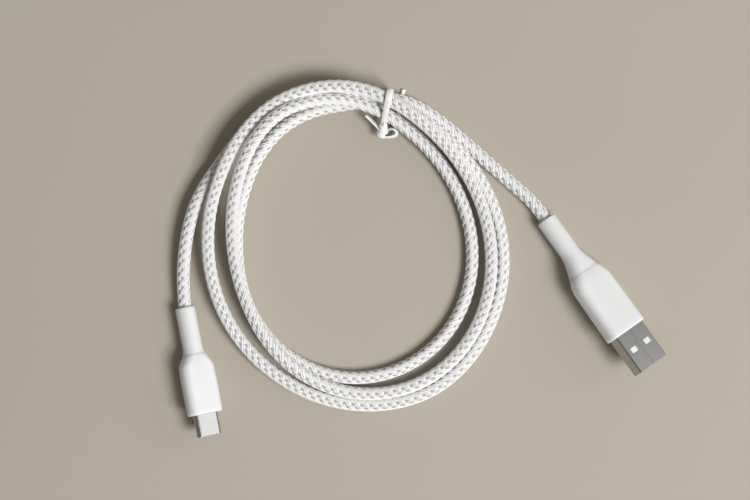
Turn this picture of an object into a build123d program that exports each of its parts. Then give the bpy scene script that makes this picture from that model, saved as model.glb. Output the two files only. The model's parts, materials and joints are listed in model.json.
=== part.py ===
"""USB-A to USB-C charging cable, one metre long, coiled in three turns and held by a twist tie.

Millimetres. The cable lies on the plane Z = 0, seen with +X to the right and +Y away.
The origin is at the bottom centre of the two plugs and the tie.
"""
from build123d import *
import math
import os

# Cord
CORD_D = 4.2                      # over the braid
CORE_D = 3.4                      # jacket under the braid
WIRE_D = 0.8                      # insulated conductors
WIRE_SPREAD = 0.5                 # each conductor's distance from the middle of the cord, both ways
RUN_SHARE = 0.45                  # share of the shorter run that a tangent arc takes up

# Coil, in polar form about its centre: one row for each turn, starting under the tie.
# Each number is a place every 30 degrees, counter-clockwise from +Y.
COIL_X, COIL_Y = -21.5, 5.0
STATIONS_A_TURN = 12
STATION_STEP = 360.0 / STATIONS_A_TURN / 2
FIRST_ANGLE = 90.0
COIL_CHAMFER = 1.26
TURN_RADII = (
    (44.9, 43.7, 38.8, 36.5, 38.2, 40.5, 42.0, 41.7, 40.1, 38.1, 37.7, 40.1),
    (45.8, 47.6, 41.3, 37.4, 37.7, 42.0, 46.7, 48.7, 46.9, 44.0, 42.8, 44.6),
    (50.2, 51.2, 47.2, 45.5, 45.9, 47.5, 50.4, 52.6, 50.4, 47.9, 45.7, 45.4),
    (49.5, 51.6),
)
TURN_HEIGHTS = (
    (2.6, 3.4, 3.4, 2.6, 2.3, 2.1, 2.1, 2.1, 2.1, 2.1, 2.4, 3.4),
    (6.5, 9.9, 9.0, 7.4, 6.4, 5.9, 3.3, 3.0, 4.0, 4.2, 5.4, 9.4),
    (9.6, 7.6, 7.8, 6.0, 4.4, 2.9, 2.1, 2.1, 2.1, 2.1, 2.4, 5.8),
    (6.0, 3.4),
)

# Free cord: from the USB-A plug into the coil, and from the coil to the USB-C plug
LEAD_ROUTE = (
    (40.4, 13.1, 3.3), (36.63, 18.47, 2.61), (30.6, 23.9, 2.2), (22.0, 31.4, 2.1),
    (12.6, 39.8, 2.2), (4.2, 46.6, 2.4), (-4.0, 51.1, 2.6), (-12.5, 52.4, 2.6),
)
TAIL_ROUTE = (
    (-56.6, 40.0, 3.7), (-62.2, 32.6, 4.1), (-67.5, 25.2, 4.5), (-71.4, 17.9, 4.7),
    (-73.7, 9.4, 4.7), (-74.9, 0.4, 4.2), (-75.2, -7.8, 3.4), (-74.55, -14.96, 3.5),
)

# Plug poses: cable end of the strain relief, heading in plan, tip raised, roll about the axis
USB_A_POSE = ((40.4, 13.1, 3.3), -54.9, 6.0, 30.0)
USB_C_POSE = ((-74.55, -14.96, 3.5), -78.8, 3.5, 30.0)

# USB-A plug, lengths measured from the cable end of the strain relief
A_RELIEF_D = 6.5
A_RELIEF_STRAIGHT = 12.5
A_SEAM = 20.1
A_FRONT = 43.1
A_BODY_W, A_BODY_T, A_BODY_R = 14.6, 7.0, 2.6
A_RELIEF_FLARE = ((15.0, 7.4, 6.55, 3.2), (17.6, 9.2, 6.6, 3.1), (A_SEAM, 11.1, 6.7, 3.0))
A_BODY_FLARE = (
    (A_SEAM, 11.1, 6.7, 3.0), (22.2, 13.0, 6.9, 2.8), (24.4, 13.9, 7.0, 2.6), (27.0, 14.1, 7.0, 2.6),
)
A_SHELL_W, A_SHELL_T, A_WALL = 12.0, 4.5, 0.3
A_SHELL_CORNER = 0.55
A_SHELL_START, A_TIP = 36.2, 56.2
A_WINDOW_W, A_WINDOW_L = 2.5, 2.0
A_WINDOW_SPACING = 6.0
A_WINDOW_FROM_TIP = 6.9
A_SEAM_GAP = 0.1
A_JOG_START, A_JOG_END, A_JOG = 46.9, 49.6, 0.7
A_CONTACT_X = {"vbus": 3.5, "d_minus": 1.0, "d_plus": -1.0, "ground": -3.5}
A_POWER_END, A_DATA_END = 54.9, 53.9
A_CONTACT_W, A_CONTACT_T = 1.0, 0.25
A_TAIL_START = 33.5
A_BLOCK_END, A_TONGUE_END = 45.0, 55.7
A_TONGUE_W = 10.9
A_MOULD_W, A_MOULD_T, A_MOULD_R = 12.6, 5.3, 1.2
A_CORE_END = 26.0
A_COLLAR_D, A_COLLAR_START = 5.0, 21.6

# USB-C plug, measured the same way
C_RELIEF_D = 6.3
C_RELIEF_STRAIGHT = 11.5
C_SEAM = 14.7
C_FRONT = 33.9
C_BODY_W, C_BODY_T, C_BODY_R = 11.4, 6.2, 2.6
C_RELIEF_FLARE = ((13.2, 6.45, 6.2, 3.05), (C_SEAM, 7.2, 6.2, 3.05))
C_BODY_FLARE = (
    (C_SEAM, 7.2, 6.2, 3.05), (16.4, 9.2, 6.2, 2.9), (18.2, 10.9, 6.2, 2.6), (20.0, 11.25, 6.2, 2.6),
)
C_SHELL_W, C_SHELL_T, C_WALL = 8.25, 2.4, 0.2
C_SHELL_START, C_TIP = 29.2, 40.9
C_MOUTH_EDGE = 0.09
C_INSULATOR_W, C_INSULATOR_T = 7.79, 1.98
C_INSULATOR_START, C_INSULATOR_END = 31.6, 40.55
C_CAVITY_W, C_CAVITY_T, C_CAVITY_R = 7.0, 1.36, 0.3
C_ROW_START, C_ROW_END = 32.0, 39.9
C_ROW_Z, C_BEAM_T, C_BEAM_W = 0.45, 0.1, 0.26
C_PITCH, C_BEAMS = 0.5, 12
C_TERMINAL_START, C_TERMINAL_END = 28.6, 31.9
C_LATCH_X, C_LATCH_W, C_LATCH_T = 3.2, 0.2, 0.6
C_LATCH_START, C_LATCH_END = 32.0, 39.4
C_HOOK_X, C_HOOK_W, C_HOOK_L = 3.04, 0.12, 0.6
C_SPRING_W, C_SPRING_T, C_SPRING_START, C_SPRING_END = 5.2, 0.1, 31.0, 36.0
C_FINGER_W, C_FINGER_END, C_FINGER_PITCH, C_FINGERS = 0.8, 38.0, 1.4, 4
C_CARD_START, C_CARD_END = 21.5, 31.4
C_CARD_W, C_CARD_T = 7.0, 0.7
C_RESISTOR_X, C_RESISTOR_Y = 1.6, 26.5
C_RESISTOR_W, C_RESISTOR_L, C_RESISTOR_T = 1.0, 0.6, 0.4
C_WIRE_X, C_WIRE_END = 2.4, 24.5
C_CAN_START, C_CAN_END = 19.6, 33.5
C_CAN_W, C_CAN_T, C_CAN_R, C_CAN_WALL = 9.4, 4.6, 1.2, 0.2
C_MOULD_END = 28.4
C_CORE_END = 17.5
C_COLLAR_D, C_COLLAR_START = 4.8, 15.2

# Twist tie: the upright plane it lies in, the strip, and what is left over beyond the bundle
TIE_X, TIE_Y, TIE_ANGLE = -18.2, 4.3, 80.5
TIE_W, TIE_T = 1.9, 0.45
TIE_WIRE = 0.25
TIE_GAP = 0.15
TIE_STRANDS = ((43.1, 4.9), (48.3, 2.6), (47.6, 6.2), (47.7, 9.8))
TWIST_START, TWIST_END, TWIST_Z = 41.2, 35.9, 3.2
TWIST_W, TWIST_T = 3.6, 1.5
TWIST_STEP, TWIST_STEPS = 30, 15
TIE_END_START, TIE_END_TIP = (-12.9, 42.6, 3.0), (-17.4, 47.0, 4.2)
TIE_LOOP_X, TIE_LOOP_Y, TIE_LOOP_R, TIE_LOOP_Z = -8.9, 41.0, 1.45, 2.8
TIE_UNDER = (-7.8, 41.6), (-5.3, 54.9)
TIE_UNDER_T = 0.3

# Both plugs
PLUG_EDGE = 0.5                   # rounding of the moulding's front edge
FLAT_REST = 0.04                  # flat left between the corners of a section that is nearly a circle
CUT_EXTRA = 0.1                   # how far a cutting block passes the surface that it opens
NEAR = 0.01


# ---------------------------------------------------------------- coil and cord

def flat(rows):
    """All rows of a table, one after the other."""
    return [value for row in rows for value in row]


def with_middles(values):
    """The same values with a smoothly interpolated one between each two."""
    ends = [values[0]] + values + [values[-1]]
    out = []
    for i in range(1, len(values)):
        before, left, right, after = ends[i - 1:i + 3]
        out += [left, (9 * (left + right) - before - after) / 16]
    return out + [values[-1]]


def coil_places():
    """(angle, radius, height) of the cord's middle through the coil, 24 to a turn."""
    radii = with_middles(flat(TURN_RADII))
    heights = [max(h, CORD_D / 2) for h in with_middles(flat(TURN_HEIGHTS))]
    return [(FIRST_ANGLE + i * STATION_STEP, r, h) for i, (r, h) in enumerate(zip(radii, heights))]


def coil_section(places, angle):
    """Section of the coil's outer shape in the upright plane through its centre at an angle."""
    here = [p for p in places if round(p[0]) % 360 == round(angle) % 360]
    half = CORD_D / 2
    low_r, high_r = min(p[1] for p in here) - half, max(p[1] for p in here) + half
    low_z, high_z = min(p[2] for p in here) - half, max(p[2] for p in here) + half
    cut = COIL_CHAMFER
    outline = [
        (low_r + cut, low_z), (high_r - cut, low_z), (high_r, low_z + cut), (high_r, high_z - cut),
        (high_r - cut, high_z), (low_r + cut, high_z), (low_r, high_z - cut), (low_r, low_z + cut),
    ]
    turn = math.radians(angle)
    points = [(COIL_X + r * math.cos(turn), COIL_Y + r * math.sin(turn), z) for r, z in outline]
    return Face(Wire.make_polygon(points, close=True))


def make_coil():
    """One closed ring with the outer shape of the bundle of turns."""
    places = coil_places()
    outlines = [coil_section(places, i * STATION_STEP).outer_wire() for i in range(2 * STATIONS_A_TURN)]
    first = outlines[:STATIONS_A_TURN + 1]
    second = outlines[STATIONS_A_TURN:] + outlines[:1]
    return Solid.make_loft(first, ruled=True) + Solid.make_loft(second, ruled=True)


def corner_radii(points):
    """The largest tangent arc at each corner of a route."""
    radii = []
    for before, here, after in zip(points, points[1:], points[2:]):
        back, ahead = Vector(*here) - Vector(*before), Vector(*after) - Vector(*here)
        shorter = min(back.length, ahead.length)
        radii.append(RUN_SHARE * shorter / math.tan(math.radians(back.get_angle(ahead) / 2)))
    return radii


def make_cord(route, name):
    """A plain round tube along a route, with its length and bends printed."""
    radii = corner_radii(route)
    path = FilletPolyline(*route, radius=radii).wire()
    start = Plane(origin=path @ 0, z_dir=path % 0)
    tube = sweep(start * Circle(CORD_D / 2), path=path)
    area = math.pi * CORD_D ** 2 / 4
    print(f"{name}: length {path.length:.1f}, tightest arc {min(radii):.1f}, "
          f"volume over section x length {tube.volume / (area * path.length):.4f}")
    print("  radii", [round(r, 1) for r in radii])
    return tube


# ---------------------------------------------------------------- plug building blocks

def plug_plane(pose):
    """Plane whose +Y runs along the plug to its tip and whose +Z is the plug's top face."""
    place, heading, raised, roll = pose
    h, p, r = math.radians(heading), math.radians(raised), math.radians(roll)
    ahead = Vector(math.cos(p) * math.cos(h), math.cos(p) * math.sin(h), math.sin(p))
    side = Vector(math.sin(h), -math.cos(h), 0)
    upright = side.cross(ahead)
    return Plane(
        origin=place,
        x_dir=side * math.cos(r) + upright * math.sin(r),
        z_dir=upright * math.cos(r) - side * math.sin(r),
    )


def across(distance):
    """Plane square to the plug's axis at a distance from its cable end."""
    return Plane(origin=(0, distance, 0), x_dir=(1, 0, 0), z_dir=(0, 1, 0))


def section(distance, width, thickness, radius):
    return across(distance) * RectangleRounded(width, thickness, radius)


def bar(width, thickness, start, end, x=0.0, z=0.0):
    return Pos(x, (start + end) / 2, z) * Box(width, end - start, thickness)


def rounded_bar(width, thickness, radius, start, end):
    return extrude(section(start, width, thickness, radius), end - start)


def rod(diameter, start, end):
    return extrude(across(start) * Circle(diameter / 2), end - start)


def round_section(distance, diameter):
    """Numbers of a section that is nearly a circle, so that it joins on to the rounded ones."""
    return distance, diameter, diameter, (diameter - FLAT_REST) / 2


def wire_between(start, end):
    """A round insulated conductor between two points."""
    line = Line(start, end)
    return sweep(Plane(origin=line @ 0, z_dir=line % 0) * Circle(WIRE_D / 2), path=line)


def flared(sections):
    """A smooth flare through rounded sections."""
    return loft([section(*s) for s in sections])


def strain_relief(diameter, straight, flare):
    """A straight sleeve round the cord that flares out towards the moulding."""
    sleeve = extrude(section(*round_section(0, diameter)), straight)
    return sleeve + flared((round_section(straight, diameter),) + flare)


def moulding(flare, front):
    """The gripped part of a plug: a short flare, a long taper, and a rounded front edge."""
    whole = flared(flare) + flared((flare[-1], front))
    face = whole.edges().filter_by_position(Axis.Y, front[0] - NEAR, front[0] + NEAR)
    return fillet(face, PLUG_EDGE)


def conductor_fan(start, end, end_places):
    """Four conductors from the middle of the jacket to four places side by side."""
    s = WIRE_SPREAD
    corners = ((s, s), (s, -s), (-s, s), (-s, -s))
    core = rod(CORE_D, 0, start)
    return [wire_between((x, start, z), (tail_x, end, tail_z)) - core
            for (x, z), (tail_x, tail_z) in zip(corners, end_places)]


# ---------------------------------------------------------------- USB-A plug

def usb_a_shell():
    """Stamped tube with two windows in each wide face and a seam with one dovetail jog."""
    outer = rounded_bar(A_SHELL_W, A_SHELL_T, A_SHELL_CORNER, A_SHELL_START, A_TIP)
    inner = rounded_bar(A_SHELL_W - 2 * A_WALL, A_SHELL_T - 2 * A_WALL, A_SHELL_CORNER - A_WALL,
                        A_SHELL_START, A_TIP)
    shell = outer - inner
    for side in (-1, 1):
        x = side * A_WINDOW_SPACING / 2
        shell -= Pos(x, A_TIP - A_WINDOW_FROM_TIP, 0) * Box(A_WINDOW_W, A_WINDOW_L, A_SHELL_T + CUT_EXTRA)
    seam_z = (A_SHELL_T - A_WALL) / 2
    depth, half = A_WALL + CUT_EXTRA, A_SEAM_GAP / 2
    lines = ((0, A_SHELL_START, A_JOG_START), (A_JOG, A_JOG_START, A_JOG_END), (0, A_JOG_END, A_TIP))
    for x, start, end in lines:
        shell -= bar(A_SEAM_GAP, depth, start, end, x, seam_z)
    for y in (A_JOG_START, A_JOG_END):
        shell -= bar(A_JOG + A_SEAM_GAP, depth, y - half, y + half, A_JOG / 2, seam_z)
    return shell


def usb_a_contacts():
    """Four flat blades, the outer power pair longer than the data pair."""
    blades = {}
    for name, x in A_CONTACT_X.items():
        end = A_POWER_END if name in ("vbus", "ground") else A_DATA_END
        blades[name] = bar(A_CONTACT_W, A_CONTACT_T, A_TAIL_START, end, x, 0)
    return blades


def usb_a_plug():
    """Every piece of the USB-A plug, in the plug's own frame."""
    inner_w, inner_t = A_SHELL_W - 2 * A_WALL, A_SHELL_T - 2 * A_WALL
    core = rod(CORE_D, 0, A_CORE_END)
    collar_block = rod(A_COLLAR_D, A_COLLAR_START, A_CORE_END)
    shell_block = rounded_bar(A_SHELL_W, A_SHELL_T, A_SHELL_CORNER, A_SHELL_START, A_TIP)
    mould_block = rounded_bar(A_MOULD_W, A_MOULD_T, A_MOULD_R, A_CORE_END, A_SHELL_START)
    blades = usb_a_contacts()
    places = [(x, 0) for x in A_CONTACT_X.values()]
    wires = dict(zip(A_CONTACT_X, conductor_fan(A_CORE_END, A_TAIL_START, places)))

    block = rounded_bar(inner_w, inner_t, A_SHELL_CORNER - A_WALL, A_SHELL_START, A_BLOCK_END)
    insulator = block + bar(A_TONGUE_W, inner_t / 2, A_BLOCK_END, A_TONGUE_END, 0, inner_t / 4)
    mould = mould_block
    for piece in list(blades.values()) + list(wires.values()):
        insulator -= piece
        mould -= piece

    body = moulding(A_BODY_FLARE, (A_FRONT, A_BODY_W, A_BODY_T, A_BODY_R))
    for inner in (mould_block, shell_block, collar_block, core):
        body -= inner

    pieces = {
        "usb_a_shell": usb_a_shell(),
        "usb_a_insulator": insulator,
        "usb_a_inner_mould": mould,
        "usb_a_crimp_collar": collar_block - core,
        "usb_a_cable_core": core,
        "usb_a_strain_relief": strain_relief(A_RELIEF_D, A_RELIEF_STRAIGHT, A_RELIEF_FLARE) - core,
        "usb_a_body": body,
    }
    for name in A_CONTACT_X:
        pieces[f"usb_a_contact_{name}"] = blades[name]
        pieces[f"usb_a_wire_{name}"] = wires[name]
    return pieces


# ---------------------------------------------------------------- USB-C plug

def stadium(width, thickness, start, end):
    return extrude(across(start) * SlotOverall(width, thickness), end - start)


def contact_row(side):
    """Twelve sprung contact beams side by side, above (+1) or below (-1) the receptacle's tongue."""
    beams = [
        bar(C_BEAM_W, C_BEAM_T, C_ROW_START, C_ROW_END, (i - (C_BEAMS - 1) / 2) * C_PITCH, side * C_ROW_Z)
        for i in range(C_BEAMS)
    ]
    return Compound(children=beams)


def terminal_row(side):
    """The fixed ends of a contact row, soldered to one face of the card."""
    z = side * (C_CARD_T + C_BEAM_T) / 2
    feet = [
        bar(C_BEAM_W, C_BEAM_T, C_TERMINAL_START, C_TERMINAL_END, (i - (C_BEAMS - 1) / 2) * C_PITCH, z)
        for i in range(C_BEAMS)
    ]
    return Compound(children=feet)


def latch(side):
    """A side spring arm with a hook at its free end."""
    arm = bar(C_LATCH_W, C_LATCH_T, C_LATCH_START, C_LATCH_END, side * C_LATCH_X, 0)
    hook = bar(C_HOOK_W, C_LATCH_T, C_LATCH_END - C_HOOK_L, C_LATCH_END, side * C_HOOK_X, 0)
    return arm + hook


def ground_spring(side):
    """A thin stamped plate between the shell and the insulator, on one wide face."""
    z = side * ((C_SHELL_T - C_SPRING_T) / 2 - C_WALL)
    plate = bar(C_SPRING_W, C_SPRING_T, C_SPRING_START, C_SPRING_END, 0, z)
    for i in range(C_FINGERS):
        x = (i - (C_FINGERS - 1) / 2) * C_FINGER_PITCH
        plate += bar(C_FINGER_W, C_SPRING_T, C_SPRING_END, C_FINGER_END, x, z)
    return plate


def usb_c_plug():
    """Every piece of the USB-C plug, in the plug's own frame."""
    core = rod(CORE_D, 0, C_CORE_END)
    collar_block = rod(C_COLLAR_D, C_COLLAR_START, C_CORE_END)
    shell_block = stadium(C_SHELL_W, C_SHELL_T, C_SHELL_START, C_TIP)
    cavity = stadium(C_SHELL_W - 2 * C_WALL, C_SHELL_T - 2 * C_WALL, C_SHELL_START, C_TIP)
    shell = shell_block - cavity
    shell = fillet(shell.edges().group_by(Axis.Y)[-1], C_MOUTH_EDGE)

    springs = {"top": ground_spring(1), "bottom": ground_spring(-1)}
    insulator = stadium(C_INSULATOR_W, C_INSULATOR_T, C_INSULATOR_START, C_INSULATOR_END)
    insulator -= rounded_bar(C_CAVITY_W, C_CAVITY_T, C_CAVITY_R, C_INSULATOR_START, C_INSULATOR_END)
    for piece in springs.values():
        insulator -= piece

    card = bar(C_CARD_W, C_CARD_T, C_CARD_START, C_CARD_END)
    resistor = bar(C_RESISTOR_W, C_RESISTOR_T, C_RESISTOR_Y - C_RESISTOR_L / 2,
                   C_RESISTOR_Y + C_RESISTOR_L / 2, C_RESISTOR_X, (C_CARD_T + C_RESISTOR_T) / 2)
    wire_z = (C_CARD_T + WIRE_D) / 2
    places = [(x, z) for x in (C_WIRE_X, -C_WIRE_X) for z in (wire_z, -wire_z)]
    fan = conductor_fan(C_CORE_END, C_WIRE_END, places)
    names = ("vbus", "d_minus", "d_plus", "ground")
    wires = {name: piece - card for name, piece in zip(names, fan)}

    hollow = (C_CAN_W - 2 * C_CAN_WALL, C_CAN_T - 2 * C_CAN_WALL, C_CAN_R - C_CAN_WALL)
    can_block = rounded_bar(C_CAN_W, C_CAN_T, C_CAN_R, C_CAN_START, C_CAN_END)
    can = can_block - rounded_bar(*hollow, C_CAN_START, C_CAN_END)
    mould = rounded_bar(*hollow, C_CAN_START, C_MOULD_END)
    for piece in [card, resistor] + list(wires.values()):
        mould -= piece

    body = moulding(C_BODY_FLARE, (C_FRONT, C_BODY_W, C_BODY_T, C_BODY_R))
    for inner in [can_block, shell_block, collar_block, core] + list(wires.values()):
        body -= inner

    pieces = {
        "usb_c_shell": shell,
        "usb_c_insulator": insulator,
        "usb_c_upper_contacts": contact_row(1),
        "usb_c_lower_contacts": contact_row(-1),
        "usb_c_upper_terminals": terminal_row(1),
        "usb_c_lower_terminals": terminal_row(-1),
        "usb_c_latch_left": latch(1),
        "usb_c_latch_right": latch(-1),
        "usb_c_paddle_card": card,
        "usb_c_pull_up_resistor": resistor,
        "usb_c_rear_can": can,
        "usb_c_inner_mould": mould,
        "usb_c_crimp_collar": collar_block - core,
        "usb_c_cable_core": core,
        "usb_c_strain_relief": strain_relief(C_RELIEF_D, C_RELIEF_STRAIGHT, C_RELIEF_FLARE) - core,
        "usb_c_body": body,
    }
    for name, piece in springs.items():
        pieces[f"usb_c_ground_spring_{name}"] = piece
    for name, piece in wires.items():
        pieces[f"usb_c_wire_{name}"] = piece
    return pieces


# ---------------------------------------------------------------- twist tie

def tie_plane():
    """Upright plane across the bundle at the tie, with local X outwards and local Y up."""
    turn = math.radians(TIE_ANGLE)
    outward = Vector(math.cos(turn), math.sin(turn), 0)
    return Plane(origin=(TIE_X, TIE_Y, 0), x_dir=outward, z_dir=outward.cross(Vector(0, 0, 1)))


def tie_outline(gap):
    """Taut outline around the strands at the tie, a gap away from them."""
    circles = [Pos(r, z) * Circle(CORD_D / 2 + gap) for r, z in TIE_STRANDS]
    return make_hull([edge for circle in circles for edge in circle.edges()])


def twisted_pair():
    """The two ends wound about each other, inwards from the bundle."""
    step = (TWIST_START - TWIST_END) / TWIST_STEPS
    outlines = []
    for i in range(TWIST_STEPS + 1):
        place = Plane(origin=(TWIST_START - i * step, TWIST_Z, 0), x_dir=(0, 1, 0), z_dir=(-1, 0, 0))
        outline = Rot(0, 0, i * TWIST_STEP) * Rectangle(TWIST_W, TWIST_T)
        outlines.append((place * outline).wire())
    return tie_plane() * Solid.make_loft(outlines, ruled=True)


def straight_strip(start, end, width, thickness):
    """A flat piece of the strip between two points, on edge."""
    line = Line(start, end)
    place = Plane(origin=line @ 0, x_dir=(0, 0, 1), z_dir=line % 0)
    return sweep(place * Rectangle(width, thickness), path=line)


def make_tie():
    """The plastic strip with its wound and free ends, and the steel wire inside the band."""
    where = tie_plane()
    band = extrude(where * (tie_outline(TIE_GAP + TIE_T) - tie_outline(TIE_GAP)), TIE_W / 2, both=True)
    wire_gap = TIE_GAP + (TIE_T - TIE_WIRE) / 2
    ring = tie_outline(wire_gap + TIE_WIRE) - tie_outline(wire_gap)
    wire = extrude(where * ring, TIE_WIRE / 2, both=True)
    loop = Cylinder(TIE_LOOP_R, TIE_W) - Cylinder(TIE_LOOP_R - TIE_T, TIE_W)
    under_start, under_end = [(x, y, TIE_UNDER_T / 2) for x, y in TIE_UNDER]
    under = straight_strip(under_start, under_end, TIE_UNDER_T, TIE_W)
    riser = Pos(TIE_UNDER[0][0], TIE_UNDER[0][1], TIE_LOOP_Z / 2) * Box(TIE_T, TIE_T, TIE_LOOP_Z)
    strip = band + twisted_pair() + Pos(TIE_LOOP_X, TIE_LOOP_Y, TIE_LOOP_Z) * loop
    strip += straight_strip(TIE_END_START, TIE_END_TIP, TIE_W, TIE_T) + under + riser
    return strip - wire, wire


# ---------------------------------------------------------------- whole cable

def build():
    """Every node of the cable, by name, in its place."""
    nodes = {
        "cord_lead": make_cord(LEAD_ROUTE, "lead"),
        "cord_coil": make_coil(),
        "cord_tail": make_cord(TAIL_ROUTE, "tail"),
    }
    nodes["tie_strip"], nodes["tie_wire"] = make_tie()
    for pose, pieces in ((USB_A_POSE, usb_a_plug()), (USB_C_POSE, usb_c_plug())):
        place = plug_plane(pose).location
        for name, piece in pieces.items():
            nodes[name] = place * piece
    return nodes


def main():
    os.makedirs("parts", exist_ok=True)
    for name, shape in build().items():
        export_step(shape, f"parts/{name}.step")


if __name__ == "__main__":
    main()
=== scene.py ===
"""Looks of a braided charging cable, coiled in three turns with a twist tie. Metres."""

import json
import math

import bpy
import numpy as np
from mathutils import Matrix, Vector


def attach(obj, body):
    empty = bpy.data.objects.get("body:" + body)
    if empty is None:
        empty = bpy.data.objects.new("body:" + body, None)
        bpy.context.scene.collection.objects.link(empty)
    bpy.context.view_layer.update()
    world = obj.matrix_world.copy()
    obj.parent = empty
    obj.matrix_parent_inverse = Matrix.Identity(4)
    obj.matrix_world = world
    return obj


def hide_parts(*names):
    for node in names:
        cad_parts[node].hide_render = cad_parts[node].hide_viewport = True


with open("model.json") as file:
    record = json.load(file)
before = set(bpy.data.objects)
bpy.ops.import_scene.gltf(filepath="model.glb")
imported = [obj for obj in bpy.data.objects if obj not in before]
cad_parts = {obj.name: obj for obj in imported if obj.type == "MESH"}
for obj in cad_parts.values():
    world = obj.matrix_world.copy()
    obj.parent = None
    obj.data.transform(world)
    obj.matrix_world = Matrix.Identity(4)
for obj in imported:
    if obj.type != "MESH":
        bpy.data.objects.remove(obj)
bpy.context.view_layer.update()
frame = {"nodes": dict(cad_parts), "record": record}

BODY = "cable"
MM = 0.001

# ---------------------------------------------------------------- cord: sizes and route

CORD_D = 0.0042

# Free cord from the USB-A plug into the coil, and from the coil to the USB-C plug
LEAD_ROUTE = (
    (0.0404, 0.0131, 0.0033), (0.03663, 0.01847, 0.00261), (0.0306, 0.0239, 0.0022),
    (0.0220, 0.0314, 0.0021), (0.0126, 0.0398, 0.0022), (0.0042, 0.0466, 0.0024),
    (-0.0040, 0.0511, 0.0026), (-0.0125, 0.0524, 0.0026),
)
TAIL_ROUTE = (
    (-0.0566, 0.0400, 0.0037), (-0.0622, 0.0326, 0.0041), (-0.0675, 0.0252, 0.0045),
    (-0.0714, 0.0179, 0.0047), (-0.0737, 0.0094, 0.0047), (-0.0749, 0.0004, 0.0042),
    (-0.0752, -0.0078, 0.0034), (-0.07455, -0.01496, 0.0035),
)

# The coil's turns in polar form about its centre, in mm: a place every 30 degrees from +Y
COIL_X, COIL_Y = -21.5, 5.0
STATIONS_A_TURN = 12
FIRST_ANGLE = 90.0
TURN_RADII = (
    (44.9, 43.7, 38.8, 36.5, 38.2, 40.5, 42.0, 41.7, 40.1, 38.1, 37.7, 40.1),
    (45.8, 47.6, 41.3, 37.4, 37.7, 42.0, 46.7, 48.7, 46.9, 44.0, 42.8, 44.6),
    (50.2, 51.2, 47.2, 45.5, 45.9, 47.5, 50.4, 52.6, 50.4, 47.9, 45.7, 45.4),
    (49.5, 51.6),
)
TURN_HEIGHTS = (
    (2.6, 3.4, 3.4, 2.6, 2.3, 2.1, 2.1, 2.1, 2.1, 2.1, 2.4, 3.4),
    (6.5, 9.9, 9.0, 7.4, 6.4, 5.9, 3.3, 3.0, 4.0, 4.2, 5.4, 9.4),
    (9.6, 7.6, 7.8, 6.0, 4.4, 2.9, 2.1, 2.1, 2.1, 2.1, 2.4, 5.8),
    (6.0, 3.4),
)

# Braid: bundles each way, yarns in a bundle, the length of one wrap, and how yarns weave
BUNDLES = 9
PLIES = 2
LEAD_LENGTH = 0.0129
PLY_SHARE = 0.40
YARN_WIDTH, YARN_THICKNESS = 0.00046, 0.00042
WEAVE_DEPTH = 0.00012
WEAVE_SOFTNESS = 6.0  # degrees round the cord in which a yarn crosses from over to under
YARN_SIDES = 6
YARN_STEP = 0.00026
JACKET_D = 0.0030
JACKET_SIDES = 16
COARSE_STEP = 0.0010
ROUTE_RESOLUTION = 24

# Rows of small openings run along the cord in pairs: degrees round it to a pair's middle and its rows
PAIRS = 3
PAIR_STEP = 360.0 / PAIRS
PAIR_MIDDLE = 60.0
ROW_OFFSET = 20.0
HOLE_STEP = 2 * LEAD_LENGTH / BUNDLES
HOLE_DEPTH, HOLE_WIDTH, HOLE_LENGTH = 0.00095, 0.00037, 0.00047
HOLE_SHIFT = 0.00008
HOLE_STARTS = (0.25, 0.75)  # the first opening of a pair's two rows, as shares of HOLE_STEP
FILLER_WIDTH, FILLER_THICKNESS = 0.00095, 0.00030
FILLER_MIDDLE = 0.00164

# How far the cord is turned about itself, in degrees, at some distances along it
CORD_TURNS = (
    (0.0, -40.0), (0.13, -15.0), (0.19, 10.0), (0.25, -28.0), (0.38, 16.0), (0.45, -10.0),
    (0.52, 44.0), (0.66, 41.0), (0.74, 24.0), (0.82, -18.0), (0.96, 3.0), (1.03, 3.0),
)

# Plugs: cable end of the strain relief, heading in plan, tip raised, roll about the axis
USB_A_POSE = ((0.0404, 0.0131, 0.0033), -54.9, 6.0, 30.0)
USB_C_POSE = ((-0.07455, -0.01496, 0.0035), -78.8, 3.5, 30.0)

# Mouldings: distance from the strain relief's cable end, width, thickness, corner radius, in mm
A_RELIEF = (
    (-0.4, 6.5, 6.5, 3.25), (12.5, 6.5, 6.5, 3.25), (15.0, 7.4, 6.55, 3.2), (17.6, 9.2, 6.6, 3.1),
    (20.1, 11.1, 6.7, 3.0),
)
A_BODY = (
    (20.1, 11.1, 6.7, 3.0), (22.2, 13.0, 6.9, 2.8), (24.4, 13.9, 7.0, 2.6), (27.0, 14.1, 7.0, 2.6),
    (43.1, 14.6, 7.0, 2.6),
)
C_RELIEF = (
    (-0.4, 6.3, 6.3, 3.15), (11.5, 6.3, 6.3, 3.15), (13.2, 6.45, 6.2, 3.05), (14.7, 7.2, 6.2, 3.05),
)
C_BODY = (
    (14.7, 7.2, 6.2, 3.05), (16.4, 9.2, 6.2, 2.9), (18.2, 10.9, 6.2, 2.6), (20.0, 11.25, 6.2, 2.6),
    (33.9, 11.4, 6.2, 2.6),
)
RIM_EDGE, SEAM_EDGE, FRONT_EDGE = 0.45, 0.07, 0.6
CORNER_STEPS = 8
EDGE_TURNS = (0, 22.5, 45, 67.5, 90)
SMALLEST_RADIUS = 0.1
SECTION_FLAT = 0.03
RING_STEP = 0.4

# The hollows in the mouldings: width, thickness and corner radius, round the cord, the inner pieces
# and the shells, and the length that stays the same size at each end
CORD_BORE = (4.1, 4.1, 2.05)
A_INNER_BORE, C_INNER_BORE = (5.1, 5.1, 2.55), (4.9, 4.9, 2.45)
A_SHELL_BORE, C_SHELL_BORE = (12.1, 4.6, 0.6), (8.35, 2.5, 1.25)
BORE_INSET = 1.0

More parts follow.
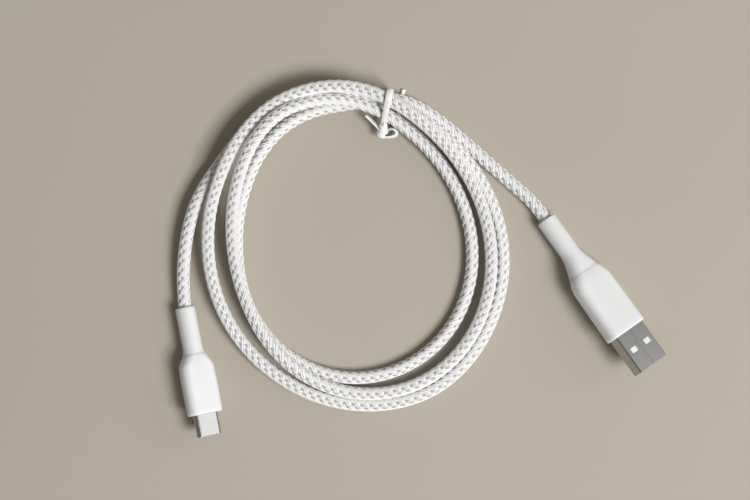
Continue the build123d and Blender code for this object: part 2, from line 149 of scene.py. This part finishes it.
# Twist tie, in mm: its upright plane, and the strip, which starts narrow over its first few places
TIE_X, TIE_Y, TIE_ANGLE = -20.2, 4.65, 77.6
TIE_W, TIE_T = 2.1, 0.42
TIE_NARROW_W, TIE_NARROW_PLACES = 1.4, 4
# The strip's section as shares of its width and thickness, with a ridge over the wire
TIE_SECTION = (
    (-1.0, 0.0), (-0.93, 0.45), (-0.45, 0.50), (-0.16, 1.0),
    (0.16, 1.0), (0.45, 0.50), (0.93, 0.45),
    (1.0, 0.0), (0.93, -0.45), (0.45, -0.50), (0.16, -1.0),
    (-0.16, -1.0), (-0.45, -0.50), (-0.93, -0.45),
)
# Round the bundle: distance out and height of the strip's middle, and the way its face looks
TIE_BAND = (
    (39.4, 5.2, 112), (40.8, 6.3, 126), (42.1, 7.4, 136), (44.0, 9.3, 140), (46.0, 11.4, 138),
    (47.0, 12.2, 112), (48.2, 12.4, 90), (49.5, 12.1, 65), (50.6, 11.2, 35), (51.0, 9.7, 4),
    (51.0, 6.2, 2), (51.0, 3.6, 0), (50.7, 1.8, -22), (49.7, 0.6, -60), (48.4, 0.3, -90),
    (46.6, 0.5, -112), (44.3, 1.6, -115), (42.3, 2.4, -118), (41.0, 2.9, -140),
)
# Where the two ends are wound: start and end of the winding's axis, its radii, turns and width, and
# how much the strip's face leans towards the winding's start
KNOT_START, KNOT_END = (-11.4, 44.1, 5.6), (-11.9, 41.0, 2.9)
KNOT_RADII, KNOT_TURNS, KNOT_STEPS = (0.80, 1.65), 3.1, 62
KNOT_W = 1.8
KNOT_LEAN = 0.5
# The rest of the two ends: place of the middle and the way its face looks, then the strip's width
TIE_LOOP = (
    ((-10.6, 41.6, 2.9), (-0.4, 0.7, 0.6)), ((-9.4, 42.3, 2.9), (-0.2, 0.8, 0.6)),
    ((-8.2, 42.2, 2.9), (0.3, 0.7, 0.6)), ((-7.3, 41.4, 2.8), (0.8, 0.2, 0.6)),
    ((-7.2, 40.6, 2.6), (0.8, -0.3, 0.5)), ((-8.0, 39.9, 2.4), (0.3, -0.8, 0.5)),
    ((-9.3, 39.6, 2.3), (0.0, -0.9, 0.5)), ((-10.8, 39.5, 2.3), (0.0, -0.9, 0.4)),
    ((-12.0, 39.9, 2.4), (-0.3, -0.8, 0.5)),
)
TIE_LOOP_W = 1.5
TIE_FREE_END = (
    ((-11.9, 41.6, 3.4), (0.56, 0.64, 0.52)), ((-13.4, 42.9, 3.9), (0.56, 0.64, 0.52)),
    ((-15.3, 44.8, 4.2), (0.56, 0.64, 0.52)), ((-17.1, 46.5, 4.4), (0.56, 0.64, 0.52)),
)
TIE_UNDER = (
    ((-8.2, 41.9, 1.9), (-0.2, -0.8, 0.6)), ((-7.7, 42.9, 0.7), (0.0, -0.4, 0.9)),
    ((-7.2, 44.6, 0.3), (0.0, 0.0, 1.0)), ((-6.0, 50.0, 0.3), (0.0, 0.0, 1.0)),
    ((-5.3, 53.6, 0.4), (0.2, -0.1, 1.0)), ((-4.9, 54.9, 0.8), (0.5, -0.3, 0.8)),
)
TIE_UNDER_W = 1.3
TIE_STEPS = 8


# ---------------------------------------------------------------- meshes

def linked(name, data):
    """A new object in the scene."""
    piece = bpy.data.objects.new(name, data)
    bpy.context.scene.collection.objects.link(piece)
    return piece


def mesh_piece(name, points, faces):
    """A new smooth object from points and faces, given as arrays or lists."""
    mesh = bpy.data.meshes.new(name)
    mesh.from_pydata([tuple(p) for p in points], [], [tuple(f) for f in faces])
    mesh.validate()
    mesh.polygons.foreach_set("use_smooth", [True] * len(mesh.polygons))
    mesh.update()
    return linked(name, mesh)


def tubes_piece(name, tubes):
    """One object from closed tubes, each an array of rings of points, with its ends capped."""
    points, quads, caps, start = [], [], [], 0
    for rings in tubes:
        count, sides = rings.shape[:2]
        index = start + np.arange(count * sides).reshape(count, sides)
        ahead, beside = index[1:], np.roll(index, -1, axis=1)
        quads.append(np.stack([index[:-1], beside[:-1], beside[1:], ahead], axis=-1).reshape(-1, 4))
        caps += [list(index[0][::-1]), list(index[-1])]
        points.append(rings.reshape(-1, 3))
        start += count * sides
    points, quads = np.concatenate(points), np.concatenate(quads)
    loops = np.concatenate([quads.ravel(), np.array([i for cap in caps for i in cap])])
    sizes = np.concatenate([np.full(len(quads), 4), np.array([len(cap) for cap in caps])])
    mesh = bpy.data.meshes.new(name)
    mesh.vertices.add(len(points))
    mesh.vertices.foreach_set("co", points.astype(np.float32).ravel())
    mesh.loops.add(len(loops))
    mesh.loops.foreach_set("vertex_index", loops.astype(np.int32))
    mesh.polygons.add(len(sizes))
    mesh.polygons.foreach_set("loop_start", (np.cumsum(sizes) - sizes).astype(np.int32))
    mesh.polygons.foreach_set("loop_total", sizes.astype(np.int32))
    mesh.polygons.foreach_set("use_smooth", np.ones(len(sizes), bool))
    mesh.update(calc_edges=True)
    return linked(name, mesh)


# ---------------------------------------------------------------- materials

RAMP_START, RAMP_END = 0.3, 0.7
# Noise in features per metre: the mottling of a surface's tone, and the grain that its bumps make
YARN_MOTTLE, YARN_GRAIN = 4000.0, 6000.0
PLASTIC_MOTTLE, PLASTIC_GRAIN = 120.0, 4000.0
METAL_MOTTLE, METAL_GRAIN = 900.0, 2500.0
TABLE_MOTTLE = 6.0


def new_material(name):
    """A new material, its nodes and links, and its shader."""
    material = bpy.data.materials.new(name)
    material.use_nodes = True
    nodes, links = material.node_tree.nodes, material.node_tree.links
    return material, nodes, links, nodes["Principled BSDF"]


def noise(nodes, links, scale, detail):
    """A noise texture in object space, in features per metre."""
    place = nodes.new("ShaderNodeTexCoord")
    texture = nodes.new("ShaderNodeTexNoise")
    texture.inputs["Scale"].default_value = scale
    texture.inputs["Detail"].default_value = detail
    links.new(place.outputs["Object"], texture.inputs["Vector"])
    return texture.outputs["Fac"]


def ramp(nodes, links, value, low, high):
    """A colour that runs from low to high over the middle of the value's range."""
    colours = nodes.new("ShaderNodeValToRGB")
    colours.color_ramp.elements[0].position = RAMP_START
    colours.color_ramp.elements[0].color = (*low, 1)
    colours.color_ramp.elements[1].position = RAMP_END
    colours.color_ramp.elements[1].color = (*high, 1)
    links.new(value, colours.inputs["Fac"])
    return colours.outputs["Color"]


def bump(nodes, links, shader, height, strength, distance):
    """Bumps a shader's surface by a height."""
    node = nodes.new("ShaderNodeBump")
    node.inputs["Strength"].default_value = strength
    node.inputs["Distance"].default_value = distance
    links.new(height, node.inputs["Height"])
    links.new(node.outputs["Normal"], shader.inputs["Normal"])


def yarn_material(name, low, high):
    """Spun polyester: mottled tone, matt, with fine fibres."""
    material, nodes, links, shader = new_material(name)
    tone = noise(nodes, links, YARN_MOTTLE, 4.0)
    links.new(ramp(nodes, links, tone, low, high), shader.inputs["Base Color"])
    shader.inputs["Roughness"].default_value = 0.6
    shader.inputs["Sheen Weight"].default_value = 0.6
    bump(nodes, links, shader, noise(nodes, links, YARN_GRAIN, 2.0), 0.5, 0.00006)
    return material


def plastic_material(name, low, high, roughness=0.4, glow=0.0):
    """Moulded plastic: barely uneven tone and a fine grain, and light that goes a little way in."""
    material, nodes, links, shader = new_material(name)
    tone = noise(nodes, links, PLASTIC_MOTTLE, 3.0)
    links.new(ramp(nodes, links, tone, low, high), shader.inputs["Base Color"])
    shader.inputs["Roughness"].default_value = roughness
    shader.inputs["Subsurface Weight"].default_value = glow
    shader.inputs["Subsurface Radius"].default_value = (1.0, 1.0, 1.0)
    shader.inputs["Subsurface Scale"].default_value = 0.002
    bump(nodes, links, shader, noise(nodes, links, PLASTIC_GRAIN, 2.0), 0.4, 0.000006)
    return material


def metal_material(name, low, high, roughness):
    """Stamped metal with a fine uneven grain."""
    material, nodes, links, shader = new_material(name)
    marks = noise(nodes, links, METAL_MOTTLE, 5.0)
    links.new(ramp(nodes, links, marks, low, high), shader.inputs["Base Color"])
    shader.inputs["Metallic"].default_value = 1.0
    shader.inputs["Roughness"].default_value = roughness
    bump(nodes, links, shader, noise(nodes, links, METAL_GRAIN, 3.0), 0.3, 0.000008)
    return material


def grey(value):
    """A neutral colour."""
    return (value, value, value)


def slot_materials():
    """A material for each of the record's material slots, and one for the yarns under the braid."""
    return {
        "braid": yarn_material("yarn", grey(0.86), grey(0.93)),
        "filler": yarn_material("filler_yarn", grey(0.38), grey(0.48)),
        "moulding": plastic_material(
            "white_moulding", (0.79, 0.80, 0.815), (0.815, 0.825, 0.84), glow=0.6),
        "shell_steel": metal_material("shell_steel", grey(0.47), grey(0.50), 0.28),
        "spring_steel": metal_material("spring_steel", grey(0.5), grey(0.6), 0.25),
        "insulator_white": plastic_material("white_insulator", grey(0.80), grey(0.86)),
        "insulator_dark": plastic_material("dark_insulator", grey(0.02), grey(0.035)),
        "inner_mould": plastic_material("inner_mould", grey(0.60), grey(0.66), 0.55),
        "jacket": plastic_material("jacket", grey(0.40), grey(0.48), 0.6),
        "tie_plastic": plastic_material("tie_plastic", grey(0.92), grey(0.94), 0.3),
        "circuit_board": plastic_material("circuit_board", (0.01, 0.08, 0.03), (0.02, 0.12, 0.05)),
        "resistor": plastic_material("resistor", grey(0.01), grey(0.02)),
        "contact_gold": metal_material("contact_gold", (0.70, 0.50, 0.20), (0.80, 0.60, 0.28), 0.2),
        "wire_red": plastic_material("wire_red", (0.40, 0.02, 0.01), (0.50, 0.03, 0.02)),
        "wire_black": plastic_material("wire_black", grey(0.01), grey(0.02)),
        "wire_green": plastic_material("wire_green", (0.01, 0.20, 0.04), (0.02, 0.26, 0.06)),
        "wire_white": plastic_material("wire_white", grey(0.70), grey(0.78)),
    }


materials = slot_materials()


def finished(piece, slot, replaces=(), look=None):
    """Gives a piece its material, its body and the CAD nodes that it stands for."""
    piece.data.materials.clear()
    piece.data.materials.append(materials[look or slot])
    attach(piece, BODY)
    if replaces:
        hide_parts(*replaces)
    return piece


def paint_cad_nodes():
    """Every CAD node takes the material of its slot in the record."""
    slots = {row["node"]: row["material_slot"] for row in frame["record"]["subparts"]}
    for name, node in frame["nodes"].items():
        node.data.materials.clear()
        node.data.materials.append(materials[slots[name]])


# ---------------------------------------------------------------- cord

def with_middles(values):
    """The same values with a smoothly interpolated one between each two."""
    ends = [values[0]] + values + [values[-1]]
    out = []
    for i in range(1, len(values)):
        before, left, right, after = ends[i - 1:i + 3]
        out += [left, (9 * (left + right) - before - after) / 16]
    return out + [values[-1]]


def coil_route():
    """Control points of the coil's turns, pushed out by as much as the spline cuts inside them."""
    step = 360.0 / STATIONS_A_TURN / 2
    radii = with_middles([r for row in TURN_RADII for r in row])
    heights = with_middles([h for row in TURN_HEIGHTS for h in row])
    inside = 0.75 + 0.25 * math.cos(math.radians(step))
    points = []
    for i, (radius, height) in enumerate(zip(radii, heights)):
        turn = math.radians(FIRST_ANGLE + i * step)
        reach = radius / inside
        x, y = COIL_X + reach * math.cos(turn), COIL_Y + reach * math.sin(turn)
        points.append((x * MM, y * MM, max(height * MM, CORD_D / 2)))
    return points


def cord_line():
    """Points down the middle of the cord, as Blender's own NURBS spline gives them."""
    route = list(LEAD_ROUTE) + coil_route() + list(TAIL_ROUTE)
    curve = bpy.data.curves.new("cord_route", "CURVE")
    curve.dimensions = "3D"
    curve.resolution_u = ROUTE_RESOLUTION
    spline = curve.splines.new("NURBS")
    spline.points.add(len(route) - 1)
    for point, place in zip(spline.points, route):
        point.co = (*place, 1)
    spline.order_u = 3
    spline.use_endpoint_u = True
    holder = bpy.data.objects.new("cord_route", curve)
    mesh = bpy.data.meshes.new_from_object(holder)
    line = np.array([v.co for v in mesh.vertices], float)
    bpy.data.meshes.remove(mesh)
    bpy.data.curves.remove(curve)
    return line


def evenly(line, step):
    """The line again with evenly spaced points, and how far along each one is."""
    along = np.concatenate([[0], np.cumsum(np.linalg.norm(np.diff(line, axis=0), axis=1))])
    at = np.linspace(0, along[-1], int(math.ceil(along[-1] / step)) + 1)
    return np.stack([np.interp(at, along, line[:, k]) for k in range(3)], axis=1), at


def unit(vectors):
    """Each of some vectors made one long."""
    return vectors / np.linalg.norm(vectors, axis=1)[:, None]


def cord_frames(line):
    """Two directions square to the cord at each point: to its side, and upwards."""
    ahead = unit(np.gradient(line, axis=0))
    side = unit(np.cross(ahead, (0.0, 0.0, 1.0)))
    return side, np.cross(side, ahead)


def around(side, up, angle):
    """Direction out of the cord at each point, at its own angle."""
    return np.cos(angle)[:, None] * side + np.sin(angle)[:, None] * up


def jacket_tube(line, side, up):
    """Rings of the round jacket under the braid."""
    turns = [2 * math.pi * k / JACKET_SIDES for k in range(JACKET_SIDES)]
    rings = [line + JACKET_D / 2 * around(side, up, np.full(len(line), t)) for t in turns]
    return np.stack(rings, axis=1)


def flat_tube(centre, out, width, thickness, sides):
    """Rings of a tube with an oval section that lies flat on the surface under it."""
    ahead = unit(np.gradient(centre, axis=0))
    across = unit(np.cross(ahead, out))
    lift = np.cross(across, ahead)
    turns = [2 * math.pi * k / sides for k in range(sides)]
    rings = [centre + width / 2 * math.cos(t) * across + thickness / 2 * math.sin(t) * lift
             for t in turns]
    return np.stack(rings, axis=1)


def from_pair(angle):
    """Degrees round the cord from the middle of the nearest pair of rows, with its sign."""
    return (np.degrees(angle) - PAIR_MIDDLE + PAIR_STEP / 2) % PAIR_STEP - PAIR_STEP / 2


def hole_dip(angle, along):
    """How far the yarns sink towards the nearest opening."""
    turn = from_pair(angle)
    side = np.sign(turn)
    beside = np.radians(turn - side * ROW_OFFSET) * CORD_D / 2
    middle = side * HOLE_SHIFT + np.where(side > 0, *HOLE_STARTS) * HOLE_STEP
    ahead = (along - middle + HOLE_STEP / 2) % HOLE_STEP - HOLE_STEP / 2
    over_rib, down_rib = (ahead + beside) / math.sqrt(2), (ahead - beside) / math.sqrt(2)
    return HOLE_DEPTH * np.exp(-(over_rib / HOLE_WIDTH) ** 2 / 2 - (down_rib / HOLE_LENGTH) ** 2 / 2)


def yarn_tube(line, along, side, up, turn, bundle, ply, way):
    """One yarn of the braid: it wraps round the cord and weaves over and under the others."""
    start = (bundle + (ply - (PLIES - 1) / 2) * PLY_SHARE) / BUNDLES
    angle = 2 * math.pi * (start + way * along / LEAD_LENGTH)
    weave = np.tanh((np.abs(from_pair(angle)) - ROW_OFFSET / 2) / WEAVE_SOFTNESS)
    middle = CORD_D / 2 - YARN_THICKNESS / 2 - WEAVE_DEPTH
    out = around(side, up, angle + turn)
    reach = middle - way * WEAVE_DEPTH * weave - hole_dip(angle, along)
    return flat_tube(line + reach[:, None] * out, out, YARN_WIDTH, YARN_THICKNESS, YARN_SIDES)


def filler_tube(line, side, up, turn, degrees):
    """A straight yarn under the braid, which shows grey through a row of openings."""
    out = around(side, up, turn + math.radians(degrees))
    return flat_tube(line + FILLER_MIDDLE * out, out, FILLER_WIDTH, FILLER_THICKNESS, YARN_SIDES)


def cord_turn(along):
    """How far the cord is turned about itself at some distances along it, in radians."""
    places, degrees = np.array(CORD_TURNS).T
    return np.radians(np.interp(along, places, degrees))


def make_cord():
    """The inner jacket, the filler yarns and the braided sleeve, and the line that they follow."""
    route_line = cord_line()
    coarse, along = evenly(route_line, COARSE_STEP)
    side, up = cord_frames(coarse)
    turn = cord_turn(along)
    jacket = tubes_piece("cord_jacket", [jacket_tube(coarse, side, up)])
    finished(jacket, "jacket", ("cord_lead", "cord_coil", "cord_tail"))
    rows = [PAIR_MIDDLE + pair * PAIR_STEP + row * ROW_OFFSET
            for pair in range(PAIRS) for row in (-1, 1)]
    fillers = [filler_tube(coarse, side, up, turn, degrees) for degrees in rows]
    sleeve = [finished(tubes_piece("braid_fillers", fillers), "braid", look="filler")]
    fine, along = evenly(route_line, YARN_STEP)
    side, up = cord_frames(fine)
    turn = cord_turn(along)
    for way, word in ((1, "right"), (-1, "left")):
        for bundle in range(BUNDLES):
            tubes = [yarn_tube(fine, along, side, up, turn, bundle, ply, way) for ply in range(PLIES)]
            sleeve.append(finished(tubes_piece(f"braid_{word}_{bundle + 1}", tubes), "braid"))
    return jacket, sleeve, coarse


# ---------------------------------------------------------------- plugs

def through(rows, at):
    """The numbers of a table of rows, at places between its rows, on smooth curves through them."""
    table = np.array(rows, float)
    x, y = table[:, 0], table[:, 1:]
    slopes = np.diff(y, axis=0) / np.diff(x)[:, None]
    inner = np.where(slopes[:-1] * slopes[1:] > 0, (slopes[:-1] + slopes[1:]) / 2, 0)
    tangents = np.concatenate([slopes[:1], inner, slopes[-1:]])
    i = np.clip(np.searchsorted(x, at) - 1, 0, len(x) - 2)
    step = (x[i + 1] - x[i])[:, None]
    t = (np.asarray(at) - x[i])[:, None] / step
    return (y[i] * (1 + 2 * t) * (1 - t) ** 2 + y[i + 1] * (3 - 2 * t) * t ** 2
            + step * (tangents[i] * t * (1 - t) ** 2 - tangents[i + 1] * (1 - t) * t ** 2))


def plug_axes(pose):
    """Origin of a plug and its directions: across it, towards its tip, and out of its top face."""
    place, heading, raised, roll = pose
    h, p, r = math.radians(heading), math.radians(raised), math.radians(roll)
    ahead = Vector((math.cos(p) * math.cos(h), math.cos(p) * math.sin(h), math.sin(p)))
    side = Vector((math.sin(h), -math.cos(h), 0))
    upright = side.cross(ahead)
    across = side * math.cos(r) + upright * math.sin(r)
    top = upright * math.cos(r) - side * math.sin(r)
    return [np.array(v) for v in (place, across, ahead, top)]


def section_ring(axes, distance, width, thickness, radius):
    """A ring of points on a rounded rectangle, square to the plug's axis. Sizes in mm."""
    origin, across, ahead, top = axes
    points = []
    radius = min(radius, min(width, thickness) / 2 - SECTION_FLAT)
    for corner, (sx, sz) in enumerate(((1, 1), (-1, 1), (-1, -1), (1, -1))):
        for k in range(CORNER_STEPS + 1):
            turn = math.radians(90 * (corner + k / CORNER_STEPS))
            x = sx * (width / 2 - radius) + radius * math.cos(turn)
            z = sz * (thickness / 2 - radius) + radius * math.sin(turn)
            points.append(origin + MM * (x * across + distance * ahead + z * top))
    return np.array(points)


def edged_rings(axes, rows, start_edge, end_edge):
    """Rings along a smooth moulding whose two ends are rounded over."""
    first, last = rows[0][0], rows[-1][0]
    arc = [math.radians(a) for a in EDGE_TURNS]
    places = [(first + start_edge * (1 - math.cos(a)), start_edge * (1 - math.sin(a))) for a in arc]
    count = int((last - first - start_edge - end_edge) / RING_STEP)
    middle = np.linspace(first + start_edge, last - end_edge, count + 1)[1:-1]
    places += [(y, 0.0) for y in middle]
    places += [(last - end_edge * (1 - math.sin(a)), end_edge * (1 - math.cos(a))) for a in arc]
    sizes = through(rows, np.array([y for y, inset in places]))
    return [section_ring(axes, y, w - 2 * inset, t - 2 * inset, max(r - inset, SMALLEST_RADIUS))
            for (y, inset), (w, t, r) in zip(places, sizes)]


def hollow_moulding(name, pose, rows, edges, bore_start, bore_end, replaces):
    """A moulding with rounded ends round a hollow that tapers from one section to another."""
    axes = plug_axes(pose)
    rings = edged_rings(axes, rows, *edges)
    rings.append(section_ring(axes, rows[-1][0], *bore_end))
    rings.append(section_ring(axes, rows[-1][0] - BORE_INSET, *bore_end))
    rings.append(section_ring(axes, rows[0][0] + BORE_INSET, *bore_start))
    rings.append(section_ring(axes, rows[0][0], *bore_start))
    return finished(ring_piece(name, rings), "moulding", replaces)


def ring_piece(name, rings):
    """A closed surface from rings, the last of which joins on to the first."""
    count, sides = len(rings), len(rings[0])
    index = np.arange(count * sides).reshape(count, sides)
    ahead, beside = np.roll(index, -1, axis=0), np.roll(index, -1, axis=1)
    corner = np.roll(beside, -1, axis=0)
    quads = np.stack([index, beside, corner, ahead], axis=-1).reshape(-1, 4)
    return mesh_piece(name, np.concatenate(rings), quads.tolist())


def make_mouldings():
    """Strain reliefs and bodies of both plugs."""
    return [
        hollow_moulding("usb_a_relief_skin", USB_A_POSE, A_RELIEF, (RIM_EDGE, SEAM_EDGE),
                        CORD_BORE, CORD_BORE, ("usb_a_strain_relief",)),
        hollow_moulding("usb_a_body_skin", USB_A_POSE, A_BODY, (SEAM_EDGE, FRONT_EDGE),
                        A_INNER_BORE, A_SHELL_BORE, ("usb_a_body",)),
        hollow_moulding("usb_c_relief_skin", USB_C_POSE, C_RELIEF, (RIM_EDGE, SEAM_EDGE),
                        CORD_BORE, CORD_BORE, ("usb_c_strain_relief",)),
        hollow_moulding("usb_c_body_skin", USB_C_POSE, C_BODY, (SEAM_EDGE, FRONT_EDGE),
                        C_INNER_BORE, C_SHELL_BORE, ("usb_c_body",)),
    ]


# ---------------------------------------------------------------- twist tie

def ribbon(places, faces, width, narrow=None):
    """Rings of a flat strip through some places, given the way that its face looks at each."""
    rows = [(i, *place, *face) for i, (place, face) in enumerate(zip(places, faces))]
    at = np.linspace(0, len(rows) - 1, (len(rows) - 1) * TIE_STEPS + 1)
    smooth = through(rows, at)
    half = np.interp(at, (0, TIE_NARROW_PLACES), (narrow or width, width))[:, None] / 2
    centre = smooth[:, :3]
    ahead = unit(np.gradient(centre, axis=0))
    across = unit(np.cross(ahead, smooth[:, 3:]))
    face = np.cross(across, ahead)
    rings = [centre + x * half * across + z * TIE_T / 2 * face for x, z in TIE_SECTION]
    return MM * np.stack(rings, axis=1)


def band_ribbon():
    """The strip's loop round the bundle, in the tie's upright plane."""
    turn = math.radians(TIE_ANGLE)
    outward = np.array((math.cos(turn), math.sin(turn), 0))
    places = [(TIE_X + r * outward[0], TIE_Y + r * outward[1], z) for r, z, _ in TIE_BAND]
    looks = [math.radians(look) for _, _, look in TIE_BAND]
    faces = [(*(math.cos(a) * outward[:2]), math.sin(a)) for a in looks]
    return ribbon(places, faces, TIE_W, TIE_NARROW_W)


def knot_ribbon():
    """The ends wound about each other, wider and wider towards the tip."""
    start, end = np.array(KNOT_START), np.array(KNOT_END)
    axis = (end - start) / np.linalg.norm(end - start)
    side = np.cross(axis, (0, 0, 1))
    side /= np.linalg.norm(side)
    top = np.cross(side, axis)
    places, faces = [], []
    for i in range(KNOT_STEPS + 1):
        share = i / KNOT_STEPS
        turn = 2 * math.pi * KNOT_TURNS * share + math.pi / 2
        out = math.cos(turn) * side + math.sin(turn) * top
        radius = KNOT_RADII[0] + (KNOT_RADII[1] - KNOT_RADII[0]) * share
        places.append(start + (end - start) * share + radius * out)
        faces.append(out - KNOT_LEAN * axis)
    return ribbon(places, faces, KNOT_W)


def make_tie():
    """The whole twist tie: loop, winding, and the ends of the strip."""
    strips = [band_ribbon(), knot_ribbon(), ribbon(*zip(*TIE_LOOP), TIE_LOOP_W)]
    strips += [ribbon(*zip(*TIE_FREE_END), TIE_W), ribbon(*zip(*TIE_UNDER), TIE_UNDER_W)]
    return finished(tubes_piece("twist_tie", strips), "tie_plastic", ("tie_strip", "tie_wire"))


# ---------------------------------------------------------------- camera, light and floor

CAMERA_AIM = (-0.0142, 0.0037)
CAMERA_HEIGHT = 0.600
CAMERA_LENS, CAMERA_SENSOR = 90.1, 36.0
# Soft boxes: name, place, side, power and colour
LIGHTS = (
    ("key", (1.24, -0.76, 1.91), 0.95, 56.0, (1.0, 0.99, 0.98)),
    ("side_card", (1.665, 0.50, 1.00), 0.90, 4.9, (1.0, 1.0, 1.0)),
)
FLOOR_HALF, FLOOR_Z = 1.5, -0.00002
FLOOR_LOW, FLOOR_HIGH = (0.440, 0.400, 0.335), (0.455, 0.415, 0.348)
WORLD_COLOUR, WORLD_STRENGTH = (1.0, 0.96, 0.90, 1), 0.20


def make_camera():
    """The camera, which looks straight down."""
    data = bpy.data.cameras.new("camera")
    data.lens = CAMERA_LENS
    data.sensor_width = CAMERA_SENSOR
    camera = linked("camera", data)
    camera.location = (*CAMERA_AIM, CAMERA_HEIGHT)
    bpy.context.scene.camera = camera


def area_light(name, place, size, power, colour):
    """A square soft box that faces the coil."""
    data = bpy.data.lights.new(name, "AREA")
    data.energy = power
    data.size = size
    data.color = colour
    light = linked(name, data)
    light.location = place
    aim = Vector((*CAMERA_AIM, 0)) - Vector(place)
    light.rotation_euler = aim.to_track_quat("-Z", "Y").to_euler()


def make_floor():
    """A plain pale table top, just under the part."""
    corners = [(x * FLOOR_HALF, y * FLOOR_HALF, 0) for x, y in ((-1, -1), (1, -1), (1, 1), (-1, 1))]
    floor = mesh_piece("floor", corners, [(0, 1, 2, 3)])
    floor.location = (*CAMERA_AIM, FLOOR_Z)
    material, nodes, links, shader = new_material("table_top")
    tone = noise(nodes, links, TABLE_MOTTLE, 2.0)
    links.new(ramp(nodes, links, tone, FLOOR_LOW, FLOOR_HIGH), shader.inputs["Base Color"])
    shader.inputs["Roughness"].default_value = 0.7
    floor.data.materials.append(material)


def make_world():
    """Even warm light from all round."""
    world = bpy.data.worlds.new("world")
    world.use_nodes = True
    background = world.node_tree.nodes["Background"]
    background.inputs["Color"].default_value = WORLD_COLOUR
    background.inputs["Strength"].default_value = WORLD_STRENGTH
    bpy.context.scene.world = world


def main():
    """Builds the looks, the camera and the stage."""
    make_camera()
    paint_cad_nodes()
    jacket, sleeve, line = make_cord()
    mouldings = make_mouldings()
    make_tie()
    make_floor()
    make_world()
    for row in LIGHTS:
        area_light(*row)
    bpy.context.scene.view_settings.view_transform = "Standard"


main()
